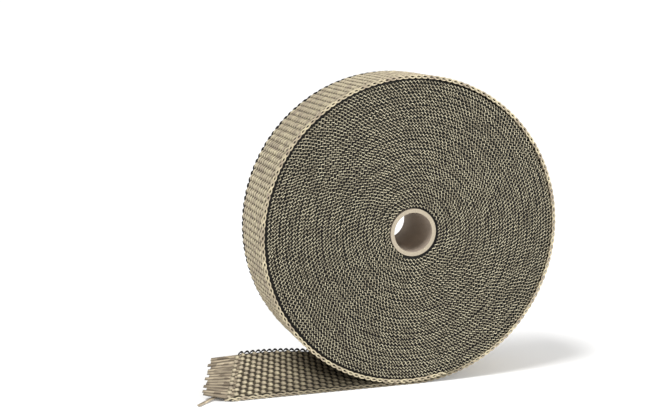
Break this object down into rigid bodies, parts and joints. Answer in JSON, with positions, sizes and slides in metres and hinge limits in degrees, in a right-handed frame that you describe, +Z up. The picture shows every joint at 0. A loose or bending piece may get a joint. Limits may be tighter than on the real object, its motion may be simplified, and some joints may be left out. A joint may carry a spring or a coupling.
{
  "type": "exhaust heat wrap roll",
  "caption": "Roll of woven heat-resistant tape wound on a cardboard core, standing on its rim, with the frayed free end of the tape lying out in front of the roll.",
  "frame": {"origin": "on the floor, under the middle of the whole part's bounding box", "axes": "+X along the length from the fringe towards the roll, +Y along the roll's axis away from the end that shows best, +Z up"},
  "size_m": [0.236, 0.0546, 0.1948],
  "materials": {
    "woven_yarn": "coarse matt weave of pale olive-beige mineral yarn",
    "core_cardboard": "plain grey-beige cardboard, spiral wound"
  },
  "bodies": {
    "root": {"woven_tape": "woven_yarn", "cardboard_core": "core_cardboard"}
  },
  "joints": []
}
